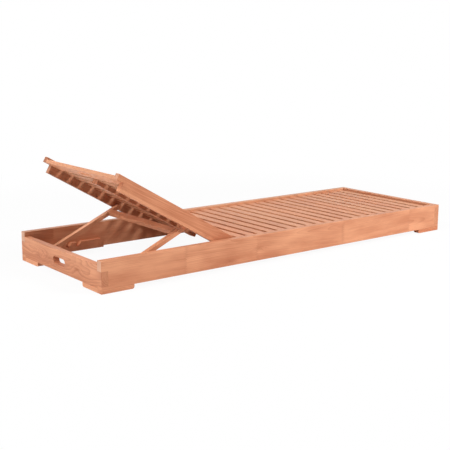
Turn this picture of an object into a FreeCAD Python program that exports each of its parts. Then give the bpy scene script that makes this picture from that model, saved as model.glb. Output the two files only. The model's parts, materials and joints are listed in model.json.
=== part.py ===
import FreeCAD, Part
import math
import os

# A sun lounger in millimetres: +X to the foot end, +Y to the left, +Z up, floor at Z = 0.

# Frame
FRAME_LENGTH = 2000.0
FRAME_WIDTH = 690.0
RAIL_THICK = 30.0
RAIL_BOTTOM = 18.0
RAIL_TOP = 132.0
HEAD_RAIL_TOP = 111.0
RAIL_EASE = 2.0
HEAD_FINGER_Z = (30.0, 88.0)
FOOT_FINGER_Z = (32.0, 121.5)
HAND_HOLE_LENGTH = 100.0
HAND_HOLE_HEIGHT = 30.0
HAND_HOLE_Z = 63.0
HAND_HOLE_EASE = 3.0

# Feet
FOOT_LENGTH = 150.0
FOOT_ROUND = 9.0

# Seat
SLAT_WIDTH = 42.0
SLAT_PITCH = 60.0
SLAT_EASE = 1.5
SEAT_SLAT_COUNT = 21
SEAT_FIRST_SLAT_X = 918.0
SEAT_TOP = 122.0
SEAT_SLAT_THICK = 18.0
SEAT_SLAT_END_GAP = 0.5
SEAT_HEAD_END_X = -286.0
LEDGER_WIDTH = 20.0
LEDGER_DEPTH = 30.0
BATTEN_WIDTH = 42.0
BATTEN_THICK = 18.0
BATTEN_EASE = 1.5

# Backrest, laid out flat: distance towards the head from the pivot, depth below the boards' tops
PIVOT_X = -334.0
PIVOT_Z = 90.0
BACKREST_ANGLE = 30.0
BOARD_REACH = 664.0
BOARD_DEPTH = 62.0
BOARD_THICK = 25.0
BOARD_OUTER_Y = 310.0
BOARD_HEAD_DEPTH = 25.0
BOARD_STEP = 34.0
BOARD_EASE = 2.0
BACK_SLAT_COUNT = 10
BACK_FIRST_SLAT = 101.0
BACK_SLAT_TOP_DEPTH = 10.0
BACK_SLAT_THICK = 15.0
BACK_TENON = 8.0
BACK_HEAD_RAIL_WIDTH = 83.0
BACK_HEAD_TENON_INSET = 6.0
GRIP_LENGTH = 100.0
GRIP_WIDTH = 28.0
GRIP_FROM_HEAD = 41.0
BACK_BATTEN_START = 98.0
BACK_BATTEN_END = 683.0

# Prop
PROP_HINGE_REACH = 240.6
PROP_HINGE_DEPTH = 50.8
PROP_SLOPE = 24.0
PROP_LENGTH = 383.0
ARM_DEPTH = 18.0
ARM_THICK = 25.0
ARM_GAP = 2.0
ARM_EASE = 1.5
CROSS_BAR_START = 37.0
CROSS_BAR_WIDTH = 28.0
CROSS_BAR_THICK = 20.0
CROSS_BAR_EASE = 2.0
CROSS_BAR_TENON = 10.0
CROSS_BAR_TENON_THICK = 10.0
CROSS_BAR_TENON_INSET = 4.0
FOOT_BAR_RADIUS = 7.0
FOOT_BAR_HALF_LENGTH = 288.5
FOOT_BAR_EASE = 1.0

# Racks
RACK_THICK = 25.0
RACK_TOP = 57.5
RACK_HEAD_X = -940.0
RACK_FOOT_X = -617.0
RACK_CHAMFER_X = 15.0
RACK_CHAMFER_Z = 8.0
RACK_SLOT_X = (-897.0, -849.0, -801.0, -753.0)
RACK_SLOT_Z = 47.0
RACK_SLOT_RADIUS = 9.5
RACK_SLOT_LEAN = 48.5
RACK_SLOT_RUN = 40.0

# Steel pins, washers and screws
RUNNING_CLEARANCE = 0.05
RECLINE_PIN_RADIUS = 6.0
RECLINE_PIN_BITE = 20.0
RECLINE_HEAD_RADIUS = 10.0
RECLINE_HEAD_THICK = 5.0
PROP_PIN_RADIUS = 5.0
PROP_PIN_BITE = 18.0
PROP_PIN_ARM_BITE = 19.0
PROP_PIN_END_GAP = 0.4
PROP_PIN_EASE = 0.8
PIN_HEAD_GAP = 0.4
PIN_HEAD_EASE = 1.5
PIN_SOCKET_RADIUS = 3.4
PIN_SOCKET_DEPTH = 2.5
RECLINE_WASHER_RADIUS = 13.0
RECLINE_WASHER_THICK = 4.6
PROP_WASHER_RADIUS = 10.0
PROP_WASHER_THICK = 1.7
WASHER_BORE_GAP = 0.4
SCREW_RADIUS = 2.0
SCREW_HEAD_RADIUS = 4.0
SCREW_HEAD_DEPTH = 2.5
SCREW_LENGTH = 38.0
SCREW_SOCKET_RADIUS = 1.4
SCREW_SOCKET_DEPTH = 1.5
LEDGER_SCREW_X = (-240.0, 0.0, 240.0, 480.0, 720.0, 930.0)
LEDGER_SCREW_Z = 89.0
RACK_SCREW_XZ = ((-925.0, 30.0), (-825.0, 27.0), (-700.0, 38.0), (-640.0, 34.0))
RACK_PLUG_RADIUS = 5.0
RACK_PLUG_DEPTH = 6.0
RACK_PLUG_EASE = 0.5
FOOT_SCREW_FROM_END = (40.0, 115.0)

HALF_LENGTH = FRAME_LENGTH / 2
RAIL_OUTER_Y = FRAME_WIDTH / 2
RAIL_INNER_Y = RAIL_OUTER_Y - RAIL_THICK
END_INNER_X = HALF_LENGTH - RAIL_THICK
SEAT_UNDER = SEAT_TOP - SEAT_SLAT_THICK
BOARD_INNER_Y = BOARD_OUTER_Y - BOARD_THICK
ARM_OUTER_Y = BOARD_INNER_Y - ARM_GAP
ARM_INNER_Y = ARM_OUTER_Y - ARM_THICK
RACK_INNER_Y = RAIL_INNER_Y - RACK_THICK
BACK_HEAD_X = PIVOT_X - BOARD_REACH
PIVOT_RADIUS = RAIL_TOP - PIVOT_Z
SIDES = (("left", 1.0), ("right", -1.0))
ENDS = (("head", -1.0), ("foot", 1.0))
ALONG_X = FreeCAD.Vector(1, 0, 0)
ALONG_Y = FreeCAD.Vector(0, 1, 0)
ALONG_Z = FreeCAD.Vector(0, 0, 1)


def block(x, y, z):
    """Box between the two ends given on each axis, in either order."""
    corner = FreeCAD.Vector(min(x), min(y), min(z))
    return Part.makeBox(abs(x[1] - x[0]), abs(y[1] - y[0]), abs(z[1] - z[0]), corner)


def runs_along(edge, direction):
    """True for a straight edge that runs along the direction."""
    ends = [vertex.Point for vertex in edge.Vertexes]
    if len(ends) != 2:
        return False
    run = ends[1] - ends[0]
    return abs(abs(run.dot(direction)) - run.Length) < 1e-6


def eased(shape, direction, radius):
    """The shape with its straight edges along the direction rounded over."""
    edges = [edge for edge in shape.Edges if runs_along(edge, direction)]
    return shape.makeFillet(radius, edges)


def rod(start, direction, radius, length):
    """Solid cylinder from a start point along a direction."""
    return Part.makeCylinder(radius, length, start, direction)


def plate(points, y):
    """Prism with a closed outline of (x, z) points, between two values of y."""
    loop = [FreeCAD.Vector(px, y[0], pz) for px, pz in points]
    face = Part.Face(Part.makePolygon(loop + loop[:1]))
    return face.extrude(FreeCAD.Vector(0, y[1] - y[0], 0))


def stadium_through_x(length, height, middle_z, x):
    """Oblong cutter along X with round ends, centred on Y = 0."""
    radius = height / 2
    reach = length / 2 - radius
    cutter = block(x, (-reach, reach), (middle_z - radius, middle_z + radius))
    for y in (-reach, reach):
        start = FreeCAD.Vector(min(x), y, middle_z)
        cutter = cutter.fuse(rod(start, ALONG_X, radius, abs(x[1] - x[0])))
    return cutter.removeSplitter()


def stadium_through_z(length, width, middle_x, z):
    """Oblong cutter along Z with round ends, long across the lounger."""
    radius = width / 2
    reach = length / 2 - radius
    cutter = block((middle_x - radius, middle_x + radius), (-reach, reach), z)
    for y in (-reach, reach):
        start = FreeCAD.Vector(middle_x, y, min(z))
        cutter = cutter.fuse(rod(start, ALONG_Z, radius, abs(z[1] - z[0])))
    return cutter.removeSplitter()


def hexagon_socket(mouth, direction, radius, depth):
    """Six-sided pocket that goes in from its mouth along the direction."""
    turn = FreeCAD.Rotation(ALONG_Z, direction)
    corners = []
    for step in range(7):
        angle = math.radians(60.0 * step)
        flat = FreeCAD.Vector(radius * math.cos(angle), radius * math.sin(angle), 0)
        corners.append(mouth + turn.multVec(flat))
    face = Part.Face(Part.makePolygon(corners))
    return face.extrude(direction * depth)


def screw(mouth, direction):
    """Countersunk screw body, driven in from its mouth along the direction."""
    head = Part.makeCone(SCREW_HEAD_RADIUS, SCREW_RADIUS, SCREW_HEAD_DEPTH, mouth, direction)
    return head.fuse(rod(mouth, direction, SCREW_RADIUS, SCREW_LENGTH)).removeSplitter()


def headed_pin(tip, direction, radius, length, head_radius, head_thick):
    """Round pin from its tip to a flat eased head with a hexagon socket."""
    neck = tip + direction * length
    head = rod(neck, direction, head_radius, head_thick)
    rim = [edge for edge in head.Edges if abs((edge.CenterOfMass - neck).dot(direction) - head_thick) < 1e-6]
    head = head.makeFillet(PIN_HEAD_EASE, [edge for edge in rim if len(edge.Vertexes) == 1])
    pin = rod(tip, direction, radius, length).fuse(head).removeSplitter()
    mouth = neck + direction * head_thick
    return pin.cut(hexagon_socket(mouth, direction * -1.0, PIN_SOCKET_RADIUS, PIN_SOCKET_DEPTH))


def dowel(start, direction, radius, length, ease):
    """Round pin or plug with both rims eased."""
    pin = rod(start, direction, radius, length)
    return pin.makeChamfer(ease, [edge for edge in pin.Edges if len(edge.Vertexes) == 1])


def ring(start, direction, inner_radius, outer_radius, thick):
    """Flat washer from its start face along the direction."""
    return rod(start, direction, outer_radius, thick).cut(rod(start, direction, inner_radius, thick))


def save(name, shape):
    """Write one node."""
    shape.exportStep(os.path.join("parts", name + ".step"))


def reclined(shape):
    """A backrest piece turned from flat to the raised pose."""
    turned = shape.copy()
    turned.rotate(FreeCAD.Vector(PIVOT_X, 0, PIVOT_Z), ALONG_Y, BACKREST_ANGLE)
    return turned


def prop_hinge_flat():
    """The prop's hinge point on the flat backrest."""
    return FreeCAD.Vector(PIVOT_X - PROP_HINGE_REACH, 0, RAIL_TOP - PROP_HINGE_DEPTH)


def propped(shape):
    """A prop piece moved from a level prop hinged at the origin to its raised pose."""
    hinge = Part.Vertex(prop_hinge_flat())
    hinge.rotate(FreeCAD.Vector(PIVOT_X, 0, PIVOT_Z), ALONG_Y, BACKREST_ANGLE)
    turned = shape.copy()
    turned.rotate(FreeCAD.Vector(0, 0, 0), ALONG_Y, -PROP_SLOPE)
    turned.translate(hinge.Point)
    return turned


def make_screws():
    """Frame screws by the piece they go through: ledger, rack and foot strips."""
    screws = {}
    for side, sign in SIDES:
        outward = ALONG_Y * sign
        inner = sign * (RAIL_INNER_Y - LEDGER_WIDTH)
        mouths = [FreeCAD.Vector(x, inner, LEDGER_SCREW_Z) for x in LEDGER_SCREW_X]
        screws["seat_ledger_" + side] = [(mouth, outward) for mouth in mouths]
        inner = sign * (RACK_INNER_Y + RACK_PLUG_DEPTH)
        mouths = [FreeCAD.Vector(x, inner, z) for x, z in RACK_SCREW_XZ]
        screws["rack_" + side] = [(mouth, outward) for mouth in mouths]
        for end, towards in ENDS:
            middle_y = sign * (RAIL_OUTER_Y - RAIL_THICK / 2)
            places = [towards * (HALF_LENGTH - reach) for reach in FOOT_SCREW_FROM_END]
            mouths = [FreeCAD.Vector(x, middle_y, 0) for x in places]
            screws["foot_side_" + end + "_" + side] = [(mouth, ALONG_Z) for mouth in mouths]
            middle_x = towards * (HALF_LENGTH - RAIL_THICK / 2)
            places = [sign * (RAIL_OUTER_Y - reach) for reach in FOOT_SCREW_FROM_END]
            mouths = [FreeCAD.Vector(middle_x, y, 0) for y in places]
            screws["foot_end_" + end + "_" + side] = [(mouth, ALONG_Z) for mouth in mouths]
    return screws


def screw_bodies(screws, names):
    """Plain screw bodies of the named pieces, to cut their holes with."""
    return [screw(mouth, direction) for name in names for mouth, direction in screws[name]]


def make_side_rails(screws):
    """Long side rails with finger slots at both ends and a blind pivot bore inside."""
    for side, sign in SIDES:
        y = (sign * RAIL_INNER_Y, sign * RAIL_OUTER_Y)
        rail = block((-HALF_LENGTH, HALF_LENGTH), y, (RAIL_BOTTOM, RAIL_TOP))
        rail = eased(rail, ALONG_X, RAIL_EASE)
        rail = rail.cut(block((-HALF_LENGTH, -END_INNER_X), y, HEAD_FINGER_Z))
        rail = rail.cut(block((END_INNER_X, HALF_LENGTH), y, FOOT_FINGER_Z))
        mouth = FreeCAD.Vector(PIVOT_X, sign * RAIL_INNER_Y, PIVOT_Z)
        rail = rail.cut(rod(mouth, ALONG_Y * sign, RECLINE_PIN_RADIUS, RECLINE_PIN_BITE))
        names = ["seat_ledger_" + side, "rack_" + side]
        names += ["foot_side_" + end + "_" + side for end, towards in ENDS]
        save("side_rail_" + side, rail.cut(screw_bodies(screws, names)))


def make_end_rails(screws):
    """Head rail with its hand hole, and the full-height foot rail."""
    x = (-HALF_LENGTH, -END_INNER_X)
    rail = block(x, (-RAIL_INNER_Y, RAIL_INNER_Y), (RAIL_BOTTOM, HEAD_RAIL_TOP))
    rail = eased(rail, ALONG_Y, RAIL_EASE)
    rail = rail.fuse(block(x, (-RAIL_OUTER_Y, RAIL_OUTER_Y), HEAD_FINGER_Z)).removeSplitter()
    rail = rail.cut(stadium_through_x(HAND_HOLE_LENGTH, HAND_HOLE_HEIGHT, HAND_HOLE_Z, x))
    rims = []
    for edge in rail.Edges:
        box = edge.BoundBox
        flat = box.XLength < 1e-6
        inside = max(abs(box.YMin), abs(box.YMax)) < HAND_HOLE_LENGTH / 2 + 1e-3
        if flat and inside:
            rims.append(edge)
    rail = rail.makeFillet(HAND_HOLE_EASE, rims)
    names = ["foot_end_head_" + side for side, sign in SIDES]
    save("head_rail", rail.cut(screw_bodies(screws, names)))

    x = (END_INNER_X, HALF_LENGTH)
    rail = block(x, (-RAIL_INNER_Y, RAIL_INNER_Y), (RAIL_BOTTOM, RAIL_TOP))
    rail = eased(rail, ALONG_Y, RAIL_EASE)
    rail = rail.fuse(block(x, (-RAIL_OUTER_Y, RAIL_OUTER_Y), FOOT_FINGER_Z)).removeSplitter()
    names = ["foot_end_foot_" + side for side, sign in SIDES]
    save("foot_rail", rail.cut(screw_bodies(screws, names)))


def rounded_foot(strip, direction, far_end):
    """A foot strip with the lower edge at its far end rounded."""
    edges = []
    for edge in strip.Edges:
        middle = edge.CenterOfMass
        if abs(middle.z) < 1e-6 and abs(middle.dot(direction) - far_end) < 1e-6:
            edges.append(edge)
    return strip.makeFillet(FOOT_ROUND, edges)


def make_feet(screws):
    """Two foot strips at each corner, one under each rail."""
    for side, sign in SIDES:
        for end, towards in ENDS:
            reach = HALF_LENGTH - FOOT_LENGTH
            x = (towards * reach, towards * HALF_LENGTH)
            y = (sign * RAIL_INNER_Y, sign * RAIL_OUTER_Y)
            strip = rounded_foot(block(x, y, (0, RAIL_BOTTOM)), ALONG_X * towards, reach)
            name = "foot_side_" + end + "_" + side
            save(name, strip.cut(screw_bodies(screws, [name])))

            reach = RAIL_OUTER_Y - FOOT_LENGTH
            x = (towards * END_INNER_X, towards * HALF_LENGTH)
            y = (sign * reach, sign * RAIL_INNER_Y)
            strip = rounded_foot(block(x, y, (0, RAIL_BOTTOM)), ALONG_Y * sign, reach)
            name = "foot_end_" + end + "_" + side
            save(name, strip.cut(screw_bodies(screws, [name])))


def make_seat(screws):
    """Ledgers, seat slats and the batten under their middle."""
    for side, sign in SIDES:
        y = (sign * (RAIL_INNER_Y - LEDGER_WIDTH), sign * RAIL_INNER_Y)
        z = (SEAT_UNDER - LEDGER_DEPTH, SEAT_UNDER)
        name = "seat_ledger_" + side
        ledger = block((SEAT_HEAD_END_X, END_INNER_X), y, z)
        save(name, ledger.cut(screw_bodies(screws, [name])))

    slat_end = RAIL_INNER_Y - SEAT_SLAT_END_GAP
    for index in range(SEAT_SLAT_COUNT):
        start = SEAT_FIRST_SLAT_X - SLAT_PITCH * index
        slat = block((start, start + SLAT_WIDTH), (-slat_end, slat_end), (SEAT_UNDER, SEAT_TOP))
        save("seat_slat_%02d" % (index + 1), eased(slat, ALONG_Y, SLAT_EASE))

    half = BATTEN_WIDTH / 2
    batten = block((SEAT_HEAD_END_X, END_INNER_X), (-half, half), (SEAT_UNDER - BATTEN_THICK, SEAT_UNDER))
    save("seat_centre_batten", eased(batten, ALONG_X, BATTEN_EASE))


def make_racks(screws):
    """Notched blocks inside the side rails, with slots that lean to the foot end and plugs over the screws."""
    outline = (
        (RACK_HEAD_X, RAIL_BOTTOM),
        (RACK_FOOT_X, RAIL_BOTTOM),
        (RACK_FOOT_X, RACK_TOP - RACK_CHAMFER_Z),
        (RACK_FOOT_X - RACK_CHAMFER_X, RACK_TOP),
        (RACK_HEAD_X + RACK_CHAMFER_X, RACK_TOP),
        (RACK_HEAD_X, RACK_TOP - RACK_CHAMFER_Z),
    )
    lean = math.radians(RACK_SLOT_LEAN)
    run = (RACK_SLOT_RUN * math.cos(lean), RACK_SLOT_RUN * math.sin(lean))
    wide = (RACK_SLOT_RADIUS * math.sin(lean), -RACK_SLOT_RADIUS * math.cos(lean))
    plugs = []
    for side, sign in SIDES:
        y = (sign * RACK_INNER_Y, sign * RAIL_INNER_Y)
        rack = plate(outline, y)
        for x in RACK_SLOT_X:
            walls = (
                (x + wide[0], RACK_SLOT_Z + wide[1]),
                (x + wide[0] + run[0], RACK_SLOT_Z + wide[1] + run[1]),
                (x - wide[0] + run[0], RACK_SLOT_Z - wide[1] + run[1]),
                (x - wide[0], RACK_SLOT_Z - wide[1]),
            )
            start = FreeCAD.Vector(x, y[0], RACK_SLOT_Z)
            cutter = plate(walls, y).fuse(rod(start, ALONG_Y * sign, RACK_SLOT_RADIUS, RACK_THICK))
            rack = rack.cut(cutter.removeSplitter())
        for x, z in RACK_SCREW_XZ:
            mouth = FreeCAD.Vector(x, y[0], z)
            rack = rack.cut(rod(mouth, ALONG_Y * sign, RACK_PLUG_RADIUS, RACK_PLUG_DEPTH))
            plugs.append(dowel(mouth, ALONG_Y * sign, RACK_PLUG_RADIUS, RACK_PLUG_DEPTH, RACK_PLUG_EASE))
        name = "rack_" + side
        save(name, rack.cut(screw_bodies(screws, [name])))
    save("rack_plugs", Part.makeCompound(plugs))


def make_backrest_crosspieces():
    """Head rail, slats and batten of the backrest, laid flat; the tenoned ones are returned."""
    z = (RAIL_TOP - BACK_SLAT_TOP_DEPTH - BACK_SLAT_THICK, RAIL_TOP - BACK_SLAT_TOP_DEPTH)
    tenon_end = BOARD_INNER_Y + BACK_TENON
    crosspieces = []

    x = (BACK_HEAD_X, BACK_HEAD_X + BACK_HEAD_RAIL_WIDTH)
    rail = eased(block(x, (-BOARD_INNER_Y, BOARD_INNER_Y), z), ALONG_Y, SLAT_EASE)
    tenon_x = (x[0] + BACK_HEAD_TENON_INSET, x[1] - BACK_HEAD_TENON_INSET)
    rail = rail.fuse(block(tenon_x, (-tenon_end, tenon_end), z)).removeSplitter()
    rail = rail.cut(stadium_through_z(GRIP_LENGTH, GRIP_WIDTH, BACK_HEAD_X + GRIP_FROM_HEAD, z))
    save("backrest_head_rail", reclined(rail))
    crosspieces.append(rail)

    for index in range(BACK_SLAT_COUNT):
        start = BACK_HEAD_X + BACK_FIRST_SLAT + SLAT_PITCH * index
        slat = block((start, start + SLAT_WIDTH), (-tenon_end, tenon_end), z)
        slat = eased(slat, ALONG_Y, SLAT_EASE)
        save("backrest_slat_%02d" % (index + 1), reclined(slat))
        crosspieces.append(slat)

    half = BATTEN_WIDTH / 2
    x = (BACK_HEAD_X + BACK_BATTEN_START, BACK_HEAD_X + BACK_BATTEN_END)
    batten = block(x, (-half, half), (z[0] - BATTEN_THICK, z[0]))
    save("backrest_centre_batten", reclined(eased(batten, ALONG_X, BATTEN_EASE)))
    return crosspieces


def board_blank(y):
    """Flat side board: rounded about the pivot, with the lower part stepped back at the head."""
    bottom = RAIL_TOP - BOARD_DEPTH
    outline = (
        (PIVOT_X + PIVOT_RADIUS, bottom),
        (PIVOT_X + PIVOT_RADIUS, RAIL_TOP),
        (BACK_HEAD_X, RAIL_TOP),
        (BACK_HEAD_X, RAIL_TOP - BOARD_HEAD_DEPTH),
        (BACK_HEAD_X + BOARD_STEP, RAIL_TOP - BOARD_HEAD_DEPTH),
        (BACK_HEAD_X + BOARD_STEP, bottom),
    )
    board = eased(plate(outline, y), ALONG_X, BOARD_EASE)
    low = FreeCAD.Vector(PIVOT_X, min(y), PIVOT_Z)
    disc = rod(low, ALONG_Y, PIVOT_RADIUS, BOARD_THICK)
    beyond = block((PIVOT_X, PIVOT_X + PIVOT_RADIUS), y, (bottom, RAIL_TOP))
    return board.cut(beyond.cut(disc))


def make_boards(crosspieces):
    """Side boards with mortises, a through hole for the pivot and a blind one for the prop."""
    hinge = prop_hinge_flat()
    for side, sign in SIDES:
        board = board_blank((sign * BOARD_INNER_Y, sign * BOARD_OUTER_Y))
        board = board.cut(crosspieces)
        inner = FreeCAD.Vector(PIVOT_X, sign * BOARD_INNER_Y, PIVOT_Z)
        hole_radius = RECLINE_PIN_RADIUS + RUNNING_CLEARANCE
        board = board.cut(rod(inner, ALONG_Y * sign, hole_radius, BOARD_THICK))
        mouth = FreeCAD.Vector(hinge.x, sign * BOARD_INNER_Y, hinge.z)
        board = board.cut(rod(mouth, ALONG_Y * sign, PROP_PIN_RADIUS, PROP_PIN_BITE))
        save("backrest_board_" + side, reclined(board))


def make_pins_and_washers():
    """Recline pins in the rails, prop pins in the boards, and the washers beside them."""
    hinge = prop_hinge_flat()
    recline_pins = []
    prop_pins = []
    washers = []
    for side, sign in SIDES:
        inward = ALONG_Y * -sign
        tip_y = RAIL_INNER_Y + RECLINE_PIN_BITE
        length = tip_y - BOARD_INNER_Y + PIN_HEAD_GAP
        tip = FreeCAD.Vector(PIVOT_X, sign * tip_y, PIVOT_Z)
        pin = headed_pin(tip, inward, RECLINE_PIN_RADIUS, length, RECLINE_HEAD_RADIUS, RECLINE_HEAD_THICK)
        recline_pins.append(pin)

        tip_y = BOARD_INNER_Y + PROP_PIN_BITE
        length = tip_y - ARM_OUTER_Y + PROP_PIN_ARM_BITE
        tip = FreeCAD.Vector(hinge.x, sign * tip_y, hinge.z)
        prop_pins.append(dowel(tip, inward, PROP_PIN_RADIUS, length, PROP_PIN_EASE))

        bore = RECLINE_PIN_RADIUS + WASHER_BORE_GAP
        start = FreeCAD.Vector(PIVOT_X, sign * BOARD_OUTER_Y, PIVOT_Z)
        washers.append(ring(start, ALONG_Y * sign, bore, RECLINE_WASHER_RADIUS, RECLINE_WASHER_THICK))
        start = FreeCAD.Vector(hinge.x, sign * BOARD_INNER_Y, hinge.z)
        washers.append(ring(start, inward, PROP_PIN_RADIUS, PROP_WASHER_RADIUS, PROP_WASHER_THICK))
    save("recline_pivot_pins", Part.makeCompound(recline_pins))
    save("prop_pivot_pins", reclined(Part.makeCompound(prop_pins)))
    save("pivot_washers", reclined(Part.makeCompound(washers)))


def make_prop():
    """Arms, flat cross bar and round foot bar, laid level from the hinge towards the head."""
    start = -CROSS_BAR_START
    half = CROSS_BAR_THICK / 2
    bar = block((start - CROSS_BAR_WIDTH, start), (-ARM_INNER_Y, ARM_INNER_Y), (-half, half))
    bar = eased(bar, ALONG_Y, CROSS_BAR_EASE)
    tenon_x = (start - CROSS_BAR_WIDTH + CROSS_BAR_TENON_INSET, start - CROSS_BAR_TENON_INSET)
    end_y = ARM_INNER_Y + CROSS_BAR_TENON
    half = CROSS_BAR_TENON_THICK / 2
    bar = bar.fuse(block(tenon_x, (-end_y, end_y), (-half, half))).removeSplitter()
    save("prop_cross_bar", propped(bar))

    foot = FreeCAD.Vector(-PROP_LENGTH, -FOOT_BAR_HALF_LENGTH, 0)
    foot_bar = rod(foot, ALONG_Y, FOOT_BAR_RADIUS, 2 * FOOT_BAR_HALF_LENGTH)
    rims = [edge for edge in foot_bar.Edges if len(edge.Vertexes) == 1]
    save("prop_foot_bar", propped(foot_bar.makeChamfer(FOOT_BAR_EASE, rims)))

    radius = ARM_DEPTH / 2
    for side, sign in SIDES:
        y = (sign * ARM_INNER_Y, sign * ARM_OUTER_Y)
        arm = block((-PROP_LENGTH, 0), y, (-radius, radius))
        for x in (-PROP_LENGTH, 0):
            arm = arm.fuse(rod(FreeCAD.Vector(x, y[0], 0), ALONG_Y * sign, radius, ARM_THICK))
        arm = arm.removeSplitter()
        rims = [edge for edge in arm.Edges if edge.BoundBox.YLength < 1e-6]
        arm = arm.makeFillet(ARM_EASE, rims)
        arm = arm.cut([bar, foot_bar])
        mouth = FreeCAD.Vector(0, sign * ARM_OUTER_Y, 0)
        hole_radius = PROP_PIN_RADIUS + RUNNING_CLEARANCE
        arm = arm.cut(rod(mouth, ALONG_Y * -sign, hole_radius, PROP_PIN_ARM_BITE + PROP_PIN_END_GAP))
        save("prop_arm_" + side, propped(arm))


def make_frame_screws(screws):
    """All frame screws, each with a hexagon socket."""
    finished = []
    for places in screws.values():
        for mouth, direction in places:
            socket = hexagon_socket(mouth, direction, SCREW_SOCKET_RADIUS, SCREW_SOCKET_DEPTH)
            finished.append(screw(mouth, direction).cut(socket))
    save("frame_screws", Part.makeCompound(finished))


os.makedirs("parts", exist_ok=True)
frame_screws = make_screws()
make_side_rails(frame_screws)
make_end_rails(frame_screws)
make_feet(frame_screws)
make_seat(frame_screws)
make_racks(frame_screws)
make_boards(make_backrest_crosspieces())
make_pins_and_washers()
make_prop()
make_frame_screws(frame_screws)
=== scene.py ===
import json
import math
import random
from functools import reduce

import bmesh
import bpy
from bpy.props import FloatProperty, FloatVectorProperty, IntProperty, PointerProperty
from bpy.types import NodeSocket, Operator, Panel, PropertyGroup
from mathutils import Matrix, Vector


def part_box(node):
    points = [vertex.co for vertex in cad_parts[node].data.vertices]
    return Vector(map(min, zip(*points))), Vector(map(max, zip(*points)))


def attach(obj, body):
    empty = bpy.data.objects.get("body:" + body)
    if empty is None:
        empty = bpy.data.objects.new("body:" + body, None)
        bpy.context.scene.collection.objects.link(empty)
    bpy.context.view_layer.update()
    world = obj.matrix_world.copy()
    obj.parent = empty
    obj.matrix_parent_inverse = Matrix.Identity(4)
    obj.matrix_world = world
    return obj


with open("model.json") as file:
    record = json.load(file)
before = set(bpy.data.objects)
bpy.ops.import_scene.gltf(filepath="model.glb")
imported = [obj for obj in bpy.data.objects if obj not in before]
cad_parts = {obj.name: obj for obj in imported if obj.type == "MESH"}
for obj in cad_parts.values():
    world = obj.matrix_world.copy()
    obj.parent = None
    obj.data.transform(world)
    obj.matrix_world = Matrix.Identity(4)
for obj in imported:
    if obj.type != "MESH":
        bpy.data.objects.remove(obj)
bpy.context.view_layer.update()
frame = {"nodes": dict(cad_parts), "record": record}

bl_info = {
    "name": "Slatted Sun Lounger",
    "version": (1, 0, 0),
    "blender": (4, 5, 0),
    "location": "View3D > Sidebar > Lounger",
    "description": "Dresses a slatted wooden sun lounger and sets its stage",
    "category": "Object",
}

NODES = frame["nodes"]

# How the backrest and the prop are turned at rest, and which way the grain runs in a level board
BACKREST_TURN = Matrix.Rotation(math.radians(30.0), 3, "Y")
PROP_TURN = Matrix.Rotation(math.radians(-24.0), 3, "Y")
LEVEL = Matrix.Identity(3)
ALONG_X = Matrix.Identity(3)
ALONG_Y = Matrix.Rotation(math.radians(90.0), 3, "Z")

# Place of a seam that an end rail does without
PAST_END = 0.9

# Finger joints of the glued-up rails: distance from the middle of the rail, towards the foot end or the left
SEAM_NAMES = ("Seam 1", "Seam 2", "Seam 3", "Seam 4")
RAIL_SEAMS = {
    "side_rail_right": (-0.594, -0.214, 0.3135, 0.779),
    "side_rail_left": (-0.856, -0.262, 0.148, 0.621),
    "foot_rail": (-PAST_END, -PAST_END, 0.118, PAST_END),
    "head_rail": (-PAST_END, -PAST_END, PAST_END, PAST_END),
}

# Middle and half size of the end rails' fingers that come through a side rail, from that rail's middle
CORNER_JOINTS = (
    ((-0.985, 0.0, -0.016), (0.015, 1.0, 0.029)),
    ((0.985, 0.0, 0.00175), (0.015, 1.0, 0.04475)),
)

# Height on a side rail above which its ends are pale, at the bottom of the head rail's finger
FINGER_BOTTOM = -0.045

# Knots and stains as in the photo, and one spot of painted shade: distance along the board, height on it, and
# size
PLACED_KNOTS_AND_SHADE = {
    "head_rail": ((-0.155, -0.0035, 0.016), (0.085, -0.004, 0.024), (0.185, -0.008, 0.018)),
    "side_rail_right": ((-0.208, -0.002, 0.013), (-0.370, -0.036, 0.016)),
    # The second mark on the right backrest board is not a knot but painted shade in the inner corner of its
    # step.
    "backrest_board_right": ((0.160, -0.020, 0.011), (-0.323, -0.008, 0.018)),
}

# Paler and darker bands along a board, as in the photo: start and end along the board, lower and upper edge,
# softness, how much paler
PLACED_BANDS = {
    "head_rail": ((-0.5, 0.5, -0.060, -0.012, 0.009, -0.24), (-0.5, 0.5, 0.010, 0.060, 0.010, 0.22)),
    "side_rail_right": (
        (-0.50, -0.05, -0.080, -0.018, 0.014, -0.36),
        (0.34, 0.56, -0.018, 0.036, 0.012, -0.30),
        (0.62, 0.96, -0.036, -0.006, 0.010, 0.22),
    ),
    "backrest_board_right": (
        (-0.5, 0.5, -0.060, -0.0175, 0.003, 0.44),
        (-0.5, 0.5, -0.017, -0.006, 0.004, -0.10),
        (-0.5, 0.5, 0.020, 0.060, 0.005, -0.26),
    ),
}

# Look of a plain board; the operators change it for single boards
PLAIN_LOOK = {
    "knots": 0.05,  # chance of a small knot
    "figure": 0.0,  # flame figure, or straight grain at 0
    "mottle": 0.0,  # soft patches in place of streaks
    "rings": 1.0,  # width of the growth rings
    "wander": 0.05,  # how much the glued lengths differ in tone
    "pale_ends": False,  # sanded ends in place of dark ones
    "ends": 0.45,  # how strongly the end grain shows
    "ends_above": -1.0,  # height on the board above which it shows
    "sides": 0.0,  # painted shade on the sides
    "lift": 1.0,  # painted light and shade: the whole board paler above 1, darker below 1
}

# Upper end of the range that a board's seed is drawn from
SEED_SPAN = 40.0

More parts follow.
